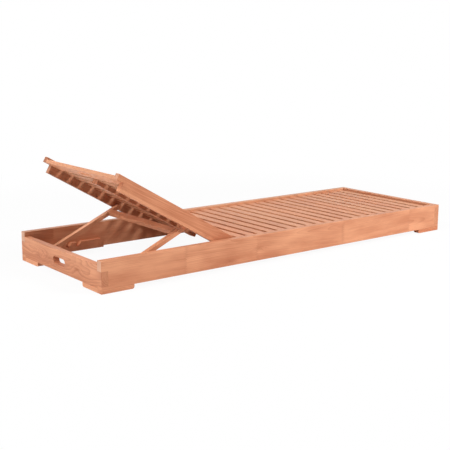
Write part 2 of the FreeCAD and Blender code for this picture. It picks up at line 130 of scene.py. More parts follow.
# Noise textures: stretch along the three axes, detail, roughness
NOISES = {
    "sway": ((2.2, 11.0, 11.0), 2.0, 0.5),
    "streak": ((0.9, 60.0, 60.0), 3.0, 0.55),
    "patch": ((5.0, 18.0, 18.0), 2.0, 0.5),
    "line": ((4.0, 240.0, 240.0), 2.0, 0.5),
    "fibre": ((16.0, 700.0, 700.0), 2.0, 0.6),
    "knot outline": ((90.0, 0.0, 140.0), 2.0, 0.5),
    "band edge": ((7.0, 0.0, 0.0), 1.0, 0.5),
    "rubbed edge": ((22.0, 90.0, 90.0), 3.0, 0.5),
    "joint stain": ((5.0, 0.0, 16.0), 1.0, 0.5),
    "tarnish": ((180.0, 180.0, 180.0), 3.0, 0.5),
    "scratch": ((2200.0, 300.0, 2200.0), 2.0, 0.5),
}
NOISE_MEAN = 0.5

# How strongly each noise shades the wood: without mottle, and the change that full mottle makes
SHADES = {"streak": (1.1, -0.66), "patch": (1.4, 1.1), "line": (0.8, -0.48), "fibre": (0.5, 0.0)}

# Shift in the log for each step of a board's seed, and rates that turn the seed into other numbers
LOG_STEPS = (3.17, 1.31, 2.07)
SLANT_RATE, PITH_Y_RATE, PITH_Z_RATE, TONE_RATE = 11.7, 7.3, 5.1, 9.1
LENGTH_SEED_STEP = 0.77

# Growth rings: change that full figure makes, and value without it
SWAY = (0.08, 0.022)
TAPER = (0.12, 0.035)
FIGURE_GAIN = (1.2, 1.0)

# Slant of a board in the log, and distance of the pith from its middle
SLANT = 0.05
PITH_Y = 0.05
PITH_Z = (0.03, 0.06)

# Late wood of a ring: sharpness, mean and relief, then how its shade differs by year
LATE_POWER, LATE_MEAN, LATE_RELIEF = 2.2, 0.31, 0.25
LATE_SHADE = (-0.42, -0.12)

# Open pores: where they start and are full, tint and share; then roughness and gloss of the wood
PORES = (0.60, 0.74)
PORE_TINT = (0.70, 0.62, 0.58)
PORE_SHARE, PORE_ROUGHNESS = 0.55, 0.18
WOOD_ROUGHNESS = (0.16, 0.34)
EDGE_ROUGHNESS = 0.10
WOOD_GLOSS = 0.16

# Placed knots and the spot of painted shade: squash along the board, raggedness, then fade and share of the
# core and of the halo
KNOT_SQUASH = (0.4, 0.0, 1.0)
KNOT_RAGGED = (0.9, 0.55)
KNOT_CORE, KNOT_CORE_SHARE = (0.22, 0.05), 0.25
KNOT_HALO, KNOT_HALO_SHARE = (1.1, 0.1), 0.35

# Small knots: cells along the three axes, and fade of a knot
KNOT_CELLS = (3.0, 13.0, 13.0)
SMALL_KNOT = (0.13, 0.03)

# Placed bands: height of the waves on their edges, and slope of their long ends
STREAK_WAVE, STREAK_END = 0.014, 0.2

# Rubbed edges with wear and painted highlight, end grain, and sides with painted shade: widths in metres, and
# raggedness of the edges
EDGE_WIDTH, EDGE_SOFTNESS = 0.0014, 0.0012
EDGE_RAGGED = (2.4, -0.3)
END_DEPTH, SIDE_DEPTH = (0.0006, 0.0002), (0.0009, 0.0003)

# Finger joints: pitch and slope of the zigzag, and fades of lines and stains
ZIGZAG_PITCH, ZIGZAG_SLOPE = 0.005, 1.8
SEAM_LINE, CORNER_LINE = (0.0016, 0.0003), (0.0016, 0.0002)
STAIN_REACH, STAIN_PATCHES = (0.016, 0.001), (0.42, 0.62)

# How far each mask moves the wood's colour
SEAM_LINE_SHARE, SEAM_STAIN_SHARE, CORNER_LINE_SHARE = 0.16, 0.14, 0.60
WEAR_AND_HIGHLIGHT_SHARE, KNOT_SHARE = 0.25, 0.75

# How strongly blue follows a board's hue, against green
BLUE_PER_HUE = 1.6

# Steel: fade of the dull patches, roughness of patches and scratches, and depth of the scratches
DULL = (0.42, 0.70)
DULL_ROUGHNESS = 0.22
STEEL_ROUGHNESS = (0.14, 0.22)
SCRATCH_DEPTH = 0.00005

# Strength of the fine relief on wood and steel
RELIEF_STRENGTH = 0.55

# Screws: corners of head and socket, sizes against the head, and least distance from a support's end
HEAD_CORNERS, SOCKET_CORNERS = 24, 6
SHANK_SHARE, SOCKET_SHARE = 0.5, 1.2
SCREW_INSET = 0.012

# Lamps: name, setting that holds the power, place and size
LAMPS = (
    ("key_lamp", "key", (2.073, -3.590, 2.896), 1.35),
    ("fill_lamp", "fill", (-3.657, 0.0, 3.510), 1.2),
    ("low_lamp", "low", (-4.538, 1.652, 1.394), 1.2),
    ("top_lamp", "top", (0.0, 0.0, 5.100), 1.2),
)
LAMP_TARGET = (0.0, 0.0, 0.1)

# Camera as solved from the photo: place, angles in degrees, and sensor width in millimetres
CAMERA_PLACE = (-2.713514, -3.317377, 0.991566)
CAMERA_ANGLES = (78.139221, -0.248685, -37.881105)
SENSOR_WIDTH = 36.0

# Floor disc, and the distances between which it turns plain white
FLOOR_RADIUS, FLOOR_CORNERS = 40.0, 64
FLOOR_FADE = (1.0, 2.6)
WHITE = (1.0, 1.0, 1.0, 1.0)


def slot_colour(name):
    """Base colour of one of the record's material slots."""
    for material in frame["record"]["materials"]:
        if material["slot"] == name:
            return tuple(material["base_color"][:3])
    raise RuntimeError("the record has no slot " + name)


class LoungerWood(PropertyGroup):
    """Colours and grain of the oiled wood, with its painted side shade and the painted highlight on its
    rubbed edges.
    """

    light: FloatVectorProperty(
        name="Light wood", description="Colour of the pale early wood", subtype="COLOR", size=3,
        min=0, max=1, default=(0.770, 0.345, 0.187),
    )
    dark: FloatVectorProperty(
        name="Dark wood", description="Colour of the dark streaks", subtype="COLOR", size=3,
        min=0, max=1, default=(0.550, 0.200, 0.099),
    )
    end_grain: FloatVectorProperty(
        name="End grain", description="Colour that end grain is darkened towards", subtype="COLOR", size=3,
        min=0, max=1, default=(0.420, 0.150, 0.075),
    )
    end_pale: FloatVectorProperty(
        name="Pale end grain", description="Colour that sanded end grain is lightened towards",
        subtype="COLOR", size=3, min=0, max=1, default=(0.640, 0.457, 0.350),
    )
    # The knot colour also darkens the joint marks and the placed spot of painted shade.
    knot: FloatVectorProperty(
        name="Knots", description="Colour of small knots", subtype="COLOR", size=3,
        min=0, max=1, default=(0.340, 0.100, 0.042),
    )
    # Painted shade: colour that side faces are darkened towards, standing in for shade in gaps, slots and
    # under the backrest.
    grime: FloatVectorProperty(
        name="Painted side shade", description="Colour that the sides of close-set slats are darkened towards",
        subtype="COLOR", size=3, min=0, max=1, default=(0.300, 0.110, 0.055),
    )
    # Rubbed edges are paler partly from wear and partly as a painted highlight on their rounded corners.
    worn: FloatVectorProperty(
        name="Worn and highlit edges", description="Colour of rubbed edges", subtype="COLOR", size=3,
        min=0, max=1, default=(0.850, 0.450, 0.260),
    )
    ring_width: FloatProperty(
        name="Ring width", description="Width of a growth ring", subtype="DISTANCE", unit="LENGTH",
        default=0.0042, min=0.0005,
    )
    contrast: FloatProperty(
        name="Grain contrast", description="How strongly the grain shows", subtype="FACTOR",
        default=1.0, min=0, max=3,
    )
    tone_spread: FloatProperty(
        name="Tone spread", description="How much the pieces differ in tone", subtype="FACTOR",
        default=0.15, min=0, max=1,
    )
    hue_spread: FloatProperty(
        name="Hue spread", description="How much the pieces differ in redness", subtype="FACTOR",
        default=0.06, min=0, max=1,
    )
    grain_depth: FloatProperty(
        name="Grain depth", description="Depth of the open grain", subtype="DISTANCE", unit="LENGTH",
        default=0.0004, min=0,
    )
    seed: IntProperty(name="Seed", description="Choice of boards", default=11, min=0)


class LoungerSteel(PropertyGroup):
    """Colours of the pins, washers and screws."""

    colour: FloatVectorProperty(
        name="Steel", description="Colour of the bare steel", subtype="COLOR", size=3,
        min=0, max=1, default=slot_colour("steel"),
    )
    tarnish: FloatVectorProperty(
        name="Tarnish", description="Colour of the dull patches", subtype="COLOR", size=3,
        min=0, max=1, default=(0.33, 0.30, 0.27),
    )


class LoungerScrews(PropertyGroup):
    """Sizes of the screws that hold the slats from below."""

    head_radius: FloatProperty(
        name="Head radius", description="Radius of a screw head", subtype="DISTANCE", unit="LENGTH",
        default=0.0038, min=0.001,
    )
    head_depth: FloatProperty(
        name="Head depth", description="Depth of the countersunk head", subtype="DISTANCE", unit="LENGTH",
        default=0.0024, min=0.0005,
    )
    socket_radius: FloatProperty(
        name="Socket radius", description="Radius of the hexagon socket", subtype="DISTANCE", unit="LENGTH",
        default=0.0016, min=0.0002,
    )
    proud: FloatProperty(
        name="Proud", description="How far a head stands out of the wood", subtype="DISTANCE", unit="LENGTH",
        default=0.0003, min=0,
    )
    seed: IntProperty(name="Seed", description="How the sockets are turned", default=5, min=0)


class LoungerStage(PropertyGroup):
    """Floor, lights and camera."""

    floor: FloatVectorProperty(
        name="Floor", description="Colour of the floor", subtype="COLOR", size=3,
        min=0, max=1, default=(0.95, 0.95, 0.95),
    )
    floor_white: FloatProperty(
        name="Floor whiteness", description="Share of plain white that the camera sees by the lounger",
        subtype="FACTOR", default=0.94, min=0, max=1,
    )
    sky: FloatProperty(
        name="Room light", description="Strength of the light from all around", default=0.02, min=0,
    )
    key: FloatProperty(
        name="Key light", description="Power of the lamp on the right", subtype="POWER", unit="POWER",
        default=201.0, min=0,
    )
    fill: FloatProperty(
        name="Fill light", description="Power of the lamp beyond the head end", subtype="POWER", unit="POWER",
        default=90.0, min=0,
    )
    low: FloatProperty(
        name="Low light", description="Power of the low lamp beyond the head end", subtype="POWER",
        unit="POWER", default=72.0, min=0,
    )
    top: FloatProperty(
        name="Top light", description="Power of the lamp overhead", subtype="POWER", unit="POWER",
        default=42.0, min=0,
    )
    lens: FloatProperty(
        name="Lens", description="Focal length", subtype="DISTANCE_CAMERA", unit="CAMERA",
        default=73.023, min=1,
    )


def add_node(tree, kind, inputs=None, **settings):
    """New node with its settings; an input takes a value or another node's socket."""
    made = tree.nodes.new(kind)
    for name, value in settings.items():
        setattr(made, name, value)
    for key, value in (inputs or {}).items():
        if isinstance(value, NodeSocket):
            tree.links.new(value, made.inputs[key])
        else:
            made.inputs[key].default_value = value
    return made


def maths(tree, operation, *values, clamp=False):
    """Output of a Math node."""
    inputs = dict(enumerate(values))
    return add_node(tree, "ShaderNodeMath", inputs, operation=operation, use_clamp=clamp).outputs[0]


def chain(tree, operation, values):
    """One Math operation over several values."""
    return reduce(lambda first, second: maths(tree, operation, first, second), values)


def swing(tree, seed, rate, operation="SINE"):
    """Number between -1 and 1 that follows from a seed."""
    return maths(tree, operation, maths(tree, "MULTIPLY", seed, rate))


def vector_maths(tree, operation, *values):
    """Vector output of a Vector Math node."""
    return add_node(tree, "ShaderNodeVectorMath", dict(enumerate(values)), operation=operation).outputs[0]


def length_of(tree, vector):
    """Length of a vector."""
    return add_node(tree, "ShaderNodeVectorMath", {0: vector}, operation="LENGTH").outputs["Value"]


def parts_of(tree, vector):
    """The three parts of a vector."""
    return add_node(tree, "ShaderNodeSeparateXYZ", {0: vector}).outputs


def vector_of(tree, x=0.0, y=0.0, z=0.0):
    """Vector made of its three parts."""
    return add_node(tree, "ShaderNodeCombineXYZ", {0: x, 1: y, 2: z}).outputs[0]


def noise(tree, place, name, output="Fac"):
    """One of the noise textures, stretched differently along each axis."""
    stretch, detail, roughness = NOISES[name]
    stretched = vector_maths(tree, "MULTIPLY", place, stretch)
    return add_node(tree, "ShaderNodeTexNoise", {
        "Vector": stretched, "Scale": 1.0, "Detail": detail, "Roughness": roughness,
    }).outputs[output]


def smooth_step(tree, value, start, end, low=0.0, high=1.0):
    """Low at start and high at end, eased between them."""
    return add_node(tree, "ShaderNodeMapRange", {
        "Value": value, "From Min": start, "From Max": end, "To Min": low, "To Max": high,
    }, interpolation_type="SMOOTHSTEP").outputs[0]


def colour_of(values):
    """Colour with full alpha."""
    return (*values, 1.0)


def blend_colours(tree, share, first, second):
    """Colour between two colours."""
    return add_node(tree, "ShaderNodeMix", {0: share, 6: first, 7: second}, data_type="RGBA").outputs[2]


def tint(tree, colour, mask, share, towards):
    """Colour moved by a share towards another one where a mask is 1."""
    return blend_colours(tree, maths(tree, "MULTIPLY", mask, share), colour, colour_of(towards))


def new_group(name, inputs, outputs):
    """Shader node group with named sockets, and its input and output nodes."""
    tree = bpy.data.node_groups.new(name, "ShaderNodeTree")
    for direction, sockets in (("INPUT", inputs), ("OUTPUT", outputs)):
        for socket_name, kind in sockets:
            tree.interface.new_socket(name=socket_name, in_out=direction, socket_type="NodeSocket" + kind)
    return tree, tree.nodes.new("NodeGroupInput").outputs, tree.nodes.new("NodeGroupOutput").inputs


def add_group(tree, name, make, inputs):
    """Places the node group of that name, made the first time, and gives its outputs."""
    group = bpy.data.node_groups.get(name) or make()
    return add_node(tree, "ShaderNodeGroup", inputs, node_tree=group).outputs


def place_of_board(tree, vector, seed):
    """The place in the log that a board was cut from."""
    steps = [maths(tree, "MULTIPLY", seed, step) for step in LOG_STEPS]
    return vector_maths(tree, "ADD", vector, vector_of(tree, *steps))


def rings_of_board(tree, given, board, place):
    """Number of rings between a place on a board and the pith."""
    figure = given["Figure"]
    lean = vector_maths(tree, "SUBTRACT", noise(tree, place, "sway", "Color"), (NOISE_MEAN,) * 3)
    sway = add_node(tree, "ShaderNodeVectorMath", {
        0: vector_maths(tree, "MULTIPLY", lean, (0.0, 1.0, 1.0)),
        "Scale": maths(tree, "MULTIPLY_ADD", figure, *SWAY),
    }, operation="SCALE").outputs[0]
    parts = parts_of(tree, vector_maths(tree, "ADD", board, sway))
    drift = maths(tree, "MULTIPLY", parts[0], maths(tree, "MULTIPLY_ADD", figure, *TAPER))
    sawn = maths(tree, "SUBTRACT", 1.0, figure)
    off_y = maths(tree, "MULTIPLY", swing(tree, given["Seed"], PITH_Y_RATE), PITH_Y)
    off_z = maths(tree, "MULTIPLY_ADD", swing(tree, given["Seed"], PITH_Z_RATE, "COSINE"), *PITH_Z)
    pith_y = maths(tree, "MULTIPLY_ADD", off_y, sawn, drift)
    pith_z = maths(tree, "MULTIPLY", off_z, sawn)
    from_pith = vector_of(
        tree, y=maths(tree, "SUBTRACT", parts[1], pith_y), z=maths(tree, "SUBTRACT", parts[2], pith_z),
    )
    radius = maths(tree, "ADD", length_of(tree, from_pith), given["Bulge"])
    return maths(tree, "DIVIDE", radius, given["Ring Width"])


def make_grain_group():
    """Growth rings, streaks and open pores of a board whose grain runs along its own X."""
    tree, given, result = new_group(
        "Wood Grain",
        (("Board", "Vector"), ("Seed", "Float"), ("Tone", "Float"), ("Light", "Color"), ("Dark", "Color"),
         ("Ring Width", "Float"), ("Contrast", "Float"), ("Figure", "Float"), ("Mottle", "Float"),
         ("Bulge", "Float")),
        (("Colour", "Color"), ("Roughness", "Float"), ("Height", "Float")),
    )
    slant = maths(tree, "MULTIPLY", swing(tree, given["Seed"], SLANT_RATE), SLANT)
    level = parts_of(tree, given["Board"])
    board = vector_of(tree, level[0], level[1], maths(tree, "MULTIPLY_ADD", level[0], slant, level[2]))
    place = place_of_board(tree, board, given["Seed"])
    rings = rings_of_board(tree, given, board, place)
    late = maths(tree, "POWER", maths(tree, "FRACT", rings), LATE_POWER)
    year = add_node(tree, "ShaderNodeTexWhiteNoise", {
        "W": maths(tree, "FLOOR", rings),
    }, noise_dimensions="1D").outputs["Value"]
    strength = maths(tree, "MULTIPLY_ADD", year, *LATE_SHADE)
    ring = maths(tree, "MULTIPLY", maths(tree, "SUBTRACT", late, LATE_MEAN), strength)
    shade = maths(tree, "MULTIPLY", ring, maths(tree, "MULTIPLY_ADD", given["Figure"], *FIGURE_GAIN))
    textures = {name: noise(tree, place, name) for name in SHADES}
    for name, (plain, change) in SHADES.items():
        amount = maths(tree, "MULTIPLY_ADD", given["Mottle"], change, plain)
        off = maths(tree, "SUBTRACT", textures[name], NOISE_MEAN)
        shade = maths(tree, "MULTIPLY_ADD", off, amount, shade)
    middle = maths(tree, "ADD", given["Tone"], 0.5)
    shade = maths(tree, "MULTIPLY_ADD", shade, given["Contrast"], middle)
    colour = blend_colours(tree, maths(tree, "ADD", shade, 0.0, clamp=True), given["Dark"], given["Light"])
    pore = smooth_step(tree, textures["fibre"], *PORES)
    dimmed = vector_maths(tree, "MULTIPLY", colour, PORE_TINT)
    colour = blend_colours(tree, maths(tree, "MULTIPLY", pore, PORE_SHARE), colour, dimmed)
    tree.links.new(colour, result["Colour"])
    rough = maths(tree, "MULTIPLY_ADD", textures["patch"], *WOOD_ROUGHNESS)
    tree.links.new(maths(tree, "MULTIPLY_ADD", pore, PORE_ROUGHNESS, rough), result["Roughness"])
    relief = maths(tree, "MULTIPLY", late, LATE_RELIEF)
    tree.links.new(maths(tree, "MULTIPLY_ADD", pore, -1.0, relief), result["Height"])
    return tree


def make_placed_knot_group():
    """A knot at a place on a board's face, also used for a spot of painted shade, and how far it pushes the
    rings aside.
    """
    tree, given, result = new_group(
        "Placed Knot",
        (("Board", "Vector"), ("Middle", "Vector"), ("Size", "Float")),
        (("Mask", "Float"), ("Bulge", "Float")),
    )
    off = vector_maths(tree, "SUBTRACT", given["Board"], given["Middle"])
    far = length_of(tree, vector_maths(tree, "MULTIPLY", off, KNOT_SQUASH))
    ragged = maths(tree, "MULTIPLY_ADD", noise(tree, given["Board"], "knot outline"), *KNOT_RAGGED)
    share = maths(tree, "DIVIDE", maths(tree, "MULTIPLY", far, ragged), given["Size"])
    fall = maths(tree, "EXPONENT", maths(tree, "MULTIPLY", maths(tree, "MULTIPLY", share, share), -1.0))
    tree.links.new(maths(tree, "MULTIPLY", fall, given["Size"]), result["Bulge"])
    core = maths(tree, "MULTIPLY", smooth_step(tree, share, *KNOT_CORE), KNOT_CORE_SHARE)
    halo = maths(tree, "MULTIPLY", smooth_step(tree, share, *KNOT_HALO), KNOT_HALO_SHARE)
    tree.links.new(maths(tree, "ADD", core, halo), result["Mask"])
    return tree


def make_placed_streak_group():
    """Mask of a paler or darker band along a board, with wavy edges and long soft ends."""
    tree, given, result = new_group(
        "Placed Streak",
        (("Board", "Vector"), ("Start", "Vector"), ("End", "Vector"), ("Softness", "Float")),
        (("Mask", "Float"),),
    )
    wave = maths(tree, "SUBTRACT", noise(tree, given["Board"], "band edge"), NOISE_MEAN)
    rise = vector_of(tree, z=maths(tree, "MULTIPLY", wave, STREAK_WAVE))
    place = vector_maths(tree, "ADD", given["Board"], rise)
    inside = []
    for far, near in ((place, given["Start"]), (given["End"], place)):
        parts = parts_of(tree, vector_maths(tree, "SUBTRACT", far, near))
        inside.append(maths(tree, "MINIMUM", maths(tree, "MULTIPLY", parts[0], STREAK_END), parts[2]))
    share = maths(tree, "DIVIDE", chain(tree, "MINIMUM", inside), given["Softness"])
    tree.links.new(smooth_step(tree, share, -1.0, 1.0), result["Mask"])
    return tree


def make_corner_joint_group():
    """Thin dark line around the end of a finger that comes through a board."""
    tree, given, result = new_group(
        "Corner Joint",
        (("Board", "Vector"), ("Middle", "Vector"), ("Half Size", "Vector")),
        (("Line", "Float"),),
    )
    off = vector_maths(tree, "ABSOLUTE", vector_maths(tree, "SUBTRACT", given["Board"], given["Middle"]))
    outside = parts_of(tree, vector_maths(tree, "SUBTRACT", off, given["Half Size"]))
    reach = maths(tree, "MAXIMUM", outside[0], outside[2])
    tree.links.new(smooth_step(tree, reach, *CORNER_LINE), result["Line"])
    return tree


def make_knot_group():
    """Mask of the few small knots in a board."""
    tree, given, result = new_group(
        "Small Knots", (("Board", "Vector"), ("Seed", "Float"), ("Share", "Float")), (("Mask", "Float"),)
    )
    place = place_of_board(tree, given["Board"], given["Seed"])
    cells = add_node(tree, "ShaderNodeTexVoronoi", {
        "Vector": vector_maths(tree, "MULTIPLY", place, KNOT_CELLS), "Scale": 1.0,
    }).outputs
    chance = add_node(tree, "ShaderNodeSeparateColor", {0: cells["Color"]}).outputs[0]
    chosen = maths(tree, "LESS_THAN", chance, given["Share"])
    core = smooth_step(tree, cells["Distance"], *SMALL_KNOT)
    tree.links.new(maths(tree, "MULTIPLY", chosen, core), result["Mask"])
    return tree


def make_edge_group():
    """Masks of a board's rubbed edges (wear and painted highlight), of its end grain and of its sides
    (painted shade), from its half size.
    """
    tree, given, result = new_group(
        "Board Edges",
        (("Board", "Vector"), ("Half Size", "Vector"), ("Width", "Float"), ("End Above", "Float")),
        (("Edge", "Float"), ("End", "Float"), ("Side", "Float")),
    )
    out = vector_maths(tree, "ABSOLUTE", given["Board"])
    depth = parts_of(tree, vector_maths(tree, "SUBTRACT", given["Half Size"], out))
    ragged = maths(tree, "MULTIPLY_ADD", noise(tree, given["Board"], "rubbed edge"), *EDGE_RAGGED)
    reach = maths(tree, "MULTIPLY", given["Width"], ragged)
    near = []
    for first, second in ((0, 1), (1, 2), (0, 2)):
        corner = maths(tree, "MAXIMUM", depth[first], depth[second])
        near.append(smooth_step(tree, maths(tree, "SUBTRACT", reach, corner), 0.0, EDGE_SOFTNESS))
    tree.links.new(chain(tree, "MAXIMUM", near), result["Edge"])
    above = maths(tree, "GREATER_THAN", parts_of(tree, given["Board"])[2], given["End Above"])
    end = smooth_step(tree, depth[0], *END_DEPTH)
    tree.links.new(maths(tree, "MULTIPLY", end, above), result["End"])
    # Side faces, where the painted shade goes.
    tree.links.new(smooth_step(tree, depth[1], *SIDE_DEPTH), result["Side"])
    return tree


def make_finger_joint_group():
    """Number of the glued length that a place is in, and the zigzag lines and stains of the joints."""
    tree, given, result = new_group(
        "Finger Joints",
        (("Board", "Vector"), *((name, "Float") for name in SEAM_NAMES)),
        (("Length", "Float"), ("Line", "Float"), ("Stain", "Float")),
    )
    parts = parts_of(tree, given["Board"])
    zigzag = maths(tree, "PINGPONG", maths(tree, "ADD", parts[1], parts[2]), ZIGZAG_PITCH)
    along = maths(tree, "MULTIPLY_ADD", zigzag, ZIGZAG_SLOPE, parts[0])
    past = [maths(tree, "GREATER_THAN", along, given[name]) for name in SEAM_NAMES]
    off = [maths(tree, "ABSOLUTE", maths(tree, "SUBTRACT", along, given[name])) for name in SEAM_NAMES]
    lines = [smooth_step(tree, distance, *SEAM_LINE) for distance in off]
    tree.links.new(chain(tree, "ADD", past), result["Length"])
    tree.links.new(chain(tree, "MAXIMUM", lines), result["Line"])
    uneven = smooth_step(tree, noise(tree, given["Board"], "joint stain"), *STAIN_PATCHES)
    stain = smooth_step(tree, chain(tree, "MINIMUM", off), *STAIN_REACH)
    tree.links.new(maths(tree, "MULTIPLY", stain, uneven), result["Stain"])
    return tree


def make_steel_group():
    """Turned steel with dull patches and fine scratches."""
    tree, given, result = new_group(
        "Dull Steel",
        (("Place", "Vector"), ("Bright", "Color"), ("Tarnish", "Color")),
        (("Colour", "Color"), ("Roughness", "Float"), ("Height", "Float")),
    )
    scratch = noise(tree, given["Place"], "scratch")
    dull = smooth_step(tree, noise(tree, given["Place"], "tarnish"), *DULL)
    tree.links.new(blend_colours(tree, dull, given["Bright"], given["Tarnish"]), result["Colour"])
    rough = maths(tree, "MULTIPLY_ADD", scratch, *STEEL_ROUGHNESS)
    tree.links.new(maths(tree, "MULTIPLY_ADD", dull, DULL_ROUGHNESS, rough), result["Roughness"])
    tree.links.new(scratch, result["Height"])
    return tree


def tinted(colour, hue, lift):
    """A wood colour made paler by the painted light level, darker where it is below 1, and yellower by hue,
    or redder where hue is below zero.
    """
    red, green, blue = (part * lift for part in colour)
    return colour_of((red, green * (1.0 + hue), blue * (1.0 + BLUE_PER_HUE * hue)))


def own_box(node, turn):
    """Middle and half size of a node along the axes of its turned frame."""
    points = [turn.transposed() @ vertex.co for vertex in NODES[node].data.vertices]
    low = Vector(tuple(min(p[axis] for p in points) for axis in range(3)))
    high = Vector(tuple(max(p[axis] for p in points) for axis in range(3)))
    return turn @ ((low + high) / 2), (high - low) / 2


def start_material(name):
    """New node material, its tree and its shader."""
    material = bpy.data.materials.new(name)
    material.use_nodes = True
    tree = material.node_tree
    return material, tree, tree.nodes["Principled BSDF"]


def link_bump(tree, shader, height, distance):
    """Fine relief on a shader's normal."""
    bump = add_node(tree, "ShaderNodeBump", {
        "Height": height, "Strength": RELIEF_STRENGTH, "Distance": distance,
    })
    tree.links.new(bump.outputs[0], shader.inputs["Normal"])


def glued_lengths(tree, node, board, look):
    """Seed and tone of a node's glued lengths, and the marks at its joints with their shares."""
    seed, tone, marks = look["seed"], look["tone"], []
    if node in RAIL_SEAMS:
        joints = add_group(tree, "Finger Joints", make_finger_joint_group, {
            "Board": board, **dict(zip(SEAM_NAMES, RAIL_SEAMS[node])),
        })
        marks += [(joints["Line"], SEAM_LINE_SHARE), (joints["Stain"], SEAM_STAIN_SHARE)]
        seed = maths(tree, "MULTIPLY_ADD", joints["Length"], LENGTH_SEED_STEP, seed)
        tone = maths(tree, "MULTIPLY_ADD", swing(tree, seed, TONE_RATE), look["wander"], tone)
    if node.startswith("side_rail"):
        for place, size in CORNER_JOINTS:
            corner = add_group(tree, "Corner Joint", make_corner_joint_group, {
                "Board": board, "Middle": place, "Half Size": size,
            })
            marks.append((corner["Line"], CORNER_LINE_SHARE))
    return seed, tone, marks


def placed_streaks(tree, node, board, tone):
    """Tone of a node with the paler and darker bands that are set on it."""
    for start, end, low, high, softness, paler in PLACED_BANDS.get(node, ()):
        made = add_group(tree, "Placed Streak", make_placed_streak_group, {
            "Board": board, "Start": (start, 0.0, low), "End": (end, 0.0, high), "Softness": softness,
        })
        tone = maths(tree, "MULTIPLY_ADD", made["Mask"], paler, tone)
    return tone


def placed_knots(tree, node, board):
    """Mask and ring bulge of the knots, and of the spot of painted shade, that are set on a node."""
    mask, bulge = 0.0, 0.0
    for along, height, size in PLACED_KNOTS_AND_SHADE.get(node, ()):
        made = add_group(tree, "Placed Knot", make_placed_knot_group, {
            "Board": board, "Middle": (along, 0.0, height), "Size": size,
        })
        mask = maths(tree, "MAXIMUM", made["Mask"], mask)
        bulge = maths(tree, "ADD", made["Bulge"], bulge)
    return mask, bulge


def board_material(wood, node, turn, look):
    """Oiled wood for one node, with the grain along the turned X axis."""
    middle, half = own_box(node, turn)
    material, tree, shader = start_material(node + "_wood")
    board = add_node(tree, "ShaderNodeMapping", {
        "Vector": add_node(tree, "ShaderNodeTexCoord").outputs["Object"],
        "Location": middle, "Rotation": turn.to_euler("XYZ"),
    }, vector_type="TEXTURE").outputs[0]
    seed, tone, marks = glued_lengths(tree, node, board, look)
    tone = placed_streaks(tree, node, board, tone)
    mask, bulge = placed_knots(tree, node, board)
    grain = add_group(tree, "Wood Grain", make_grain_group, {
        "Board": board, "Seed": seed, "Tone": tone,
        "Light": tinted(wood.light, look["hue"], look["lift"]),
        "Dark": tinted(wood.dark, look["hue"], look["lift"]),
        "Ring Width": wood.ring_width * look["rings"], "Contrast": wood.contrast,
        "Figure": look["figure"], "Mottle": look["mottle"], "Bulge": bulge,
    })
    edges = add_group(tree, "Board Edges", make_edge_group, {
        "Board": board, "Half Size": half, "Width": EDGE_WIDTH, "End Above": look["ends_above"],
    })
    knots = add_group(tree, "Small Knots", make_knot_group, {
        "Board": board, "Seed": seed, "Share": look["knots"],
    })
    ends = wood.end_pale if look["pale_ends"] else wood.end_grain
    colour = tint(tree, grain["Colour"], edges["End"], look["ends"], ends)
    # Rubbed edges: paler partly as wear and partly as a painted highlight.
    colour = tint(tree, colour, edges["Edge"], WEAR_AND_HIGHLIGHT_SHARE, wood.worn)
    # Painted shade on the side faces.
    colour = tint(tree, colour, edges["Side"], look["sides"], wood.grime)
    # Knots, with the placed spot of painted shade.
    colour = tint(tree, colour, maths(tree, "MAXIMUM", knots["Mask"], mask), KNOT_SHARE, wood.knot)
    for mark, share in marks:
        colour = tint(tree, colour, mark, share, wood.knot)
    rough = maths(tree, "MULTIPLY_ADD", edges["Edge"], EDGE_ROUGHNESS, grain["Roughness"])
    tree.links.new(colour, shader.inputs["Base Color"])
    tree.links.new(rough, shader.inputs["Roughness"])
    shader.inputs["Specular IOR Level"].default_value = WOOD_GLOSS
    link_bump(tree, shader, grain["Height"], wood.grain_depth)
    return material


def steel_material(steel, name):
    """Dull stainless steel."""
    material, tree, shader = start_material(name)
    finish = add_group(tree, "Dull Steel", make_steel_group, {
        "Place": add_node(tree, "ShaderNodeTexCoord").outputs["Object"],
        "Bright": colour_of(steel.colour), "Tarnish": colour_of(steel.tarnish),
    })
    tree.links.new(finish["Colour"], shader.inputs["Base Color"])
    tree.links.new(finish["Roughness"], shader.inputs["Roughness"])
    shader.inputs["Metallic"].default_value = 1.0
    link_bump(tree, shader, finish["Height"], SCRATCH_DEPTH)
    return material


def dress(node, material):
    """Gives a node's whole surface one material."""
    slots = NODES[node].data.materials
    slots.clear()
    slots.append(material)


def dress_boards(context, names, frame_turn, grain_turn, tone=0.0, spread=1.0, hue=0.0, **special):
    """Gives each named node a board of its own."""
    wood = context.scene.lounger_wood
    for name in names:
        draw = random.Random(name + str(wood.seed))
        look = {**PLAIN_LOOK, "seed": draw.uniform(0.0, SEED_SPAN)}
        look["tone"] = tone + draw.uniform(-1.0, 1.0) * wood.tone_spread * spread
        look["hue"] = hue + draw.uniform(-1.0, 1.0) * wood.hue_spread * spread
        look.update(special)
        dress(name, board_material(wood, name, frame_turn @ grain_turn, look))


def names_starting(*starts):
    """Names of the nodes that start with one of the words, in order."""
    return [name for name in sorted(NODES) if name.startswith(starts)]


